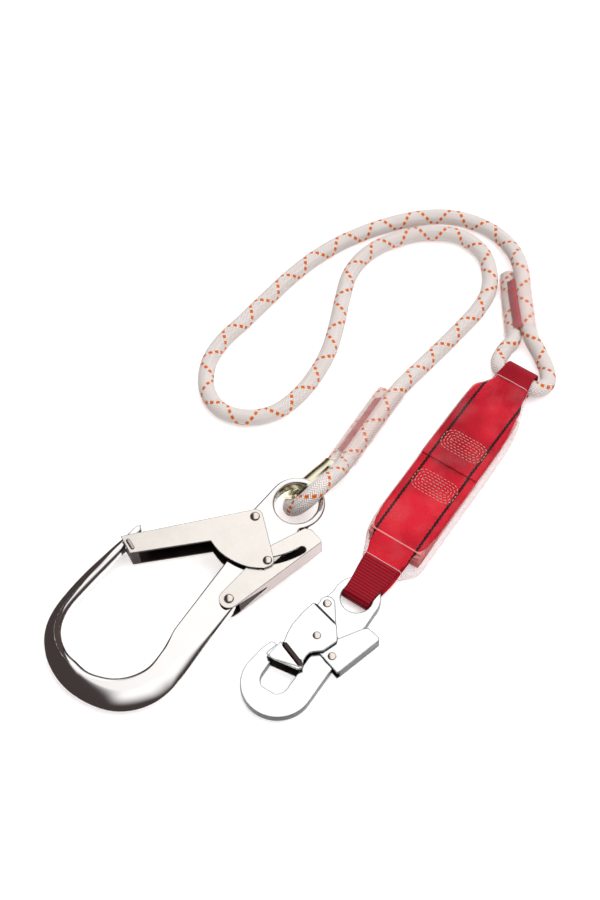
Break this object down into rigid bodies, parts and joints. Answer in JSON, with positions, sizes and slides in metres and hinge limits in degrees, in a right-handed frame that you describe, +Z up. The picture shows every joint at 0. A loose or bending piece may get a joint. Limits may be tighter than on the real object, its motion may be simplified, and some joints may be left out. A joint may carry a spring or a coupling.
{
  "type": "shock absorbing lanyard",
  "caption": "Kernmantle rope lanyard with a large scaffold hook at one end and a sewn tear webbing absorber with a snap hook at the other.",
  "frame": {"origin": "on the floor the lanyard lies on, below the middle of the box round its hooks and absorber", "axes": "+Z up from the floor; +X across the laid-out lanyard, from the scaffold hook towards the absorber; +Y away from the snap hook, towards the loops of rope"},
  "size_m": [0.364, 0.4276, 0.0415],
  "materials": {
    "rope_nylon": "braided nylon kernmantle with orange tracer yarns",
    "yellow_zinc": "zinc plated, faintly yellow",
    "clear_vinyl": "clear soft vinyl, slightly milky",
    "red_thread": "dense zigzag stitching",
    "white_thread": "rows of lock stitching",
    "red_webbing": "ribbed polyester webbing",
    "polished_steel": "polished forged steel",
    "satin_steel": "satin nickel plated sheet steel",
    "bright_zinc": "bright zinc plate",
    "rivet_steel": "plated, domed heads",
    "spring_steel": "drawn wire"
  },
  "bodies": {
    "rope_assembly": {"rope": "rope_nylon", "thimble": "yellow_zinc", "thimble_splice_sleeve": "clear_vinyl", "thimble_splice_stitching": "red_thread", "eye_splice_sleeve": "clear_vinyl", "eye_splice_stitching": "red_thread"},
    "big_hook": {"big_hook_body": "polished_steel", "big_hook_gate_rivet": "rivet_steel", "big_hook_lever_rivet": "rivet_steel"},
    "big_gate": {"big_hook_gate": "satin_steel", "big_hook_lock_pin": "rivet_steel", "big_hook_gate_spring": "spring_steel"},
    "big_lever": {"big_hook_lever": "satin_steel", "big_hook_lever_spring": "spring_steel"},
    "absorber": {"absorber_cover": "clear_vinyl", "absorber_webbing": "red_webbing", "rope_end_strap": "red_webbing", "hook_end_strap": "red_webbing", "upper_box_stitch": "white_thread", "lower_box_stitch": "white_thread"},
    "snap_hook": {"snap_hook_body": "bright_zinc", "snap_hook_gate_rivet": "rivet_steel", "snap_hook_lever_rivet": "rivet_steel"},
    "snap_gate": {"snap_hook_gate": "bright_zinc", "snap_hook_lock_pin": "rivet_steel", "snap_hook_gate_spring": "spring_steel"},
    "snap_lever": {"snap_hook_lever": "bright_zinc", "snap_hook_lever_spring": "spring_steel"}
  },
  "joints": [
    {"name": "big_hook_swing", "type": "hinge", "parent": "rope_assembly", "child": "big_hook", "pos_m": [-0.0023, 0.0148, 0.02], "axis": [-0.041, -0.0586, 0.9974], "range_deg": [-40, 8]},
    {"name": "big_gate_pivot", "type": "hinge", "parent": "big_hook", "child": "big_gate", "pos_m": [-0.03069, 0.00302, 0.01814], "axis": [-0.041, -0.0586, 0.9974], "range_deg": [0, 38], "stiffness_Nm_per_rad": 0.4},
    {"name": "big_lever_pivot", "type": "hinge", "parent": "big_hook", "child": "big_lever", "pos_m": [-0.04798, -0.05793, 0.01385], "axis": [-0.041, -0.0586, 0.9974], "range_deg": [0, 6], "stiffness_Nm_per_rad": 0.3},
    {"name": "absorber_fold", "type": "hinge", "parent": "rope_assembly", "child": "absorber", "pos_m": [0.1607, 0.1271, 0.0099], "axis": [-0.8281, 0.5606, 0], "range_deg": [0, 90]},
    {"name": "snap_hook_swing", "type": "hinge", "parent": "absorber", "child": "snap_hook", "pos_m": [0.0392, -0.0524, 0.0078], "axis": [0, 0, 1], "range_deg": [-8, 30]},
    {"name": "snap_gate_pivot", "type": "hinge", "parent": "snap_hook", "child": "snap_gate", "pos_m": [0.01885, -0.05767, 0.0078], "axis": [0, 0, 1], "range_deg": [0, 20], "stiffness_Nm_per_rad": 0.1},
    {"name": "snap_lever_pivot", "type": "hinge", "parent": "snap_hook", "child": "snap_lever", "pos_m": [0.02182, -0.09716, 0.0078], "axis": [0, 0, 1], "range_deg": [0, 8], "stiffness_Nm_per_rad": 0.05}
  ],
  "couplings": [
    {"joint": "big_lever_pivot", "follows": "big_gate_pivot", "ratio": 0.1579},
    {"joint": "snap_lever_pivot", "follows": "snap_gate_pivot", "ratio": 0.4}
  ]
}
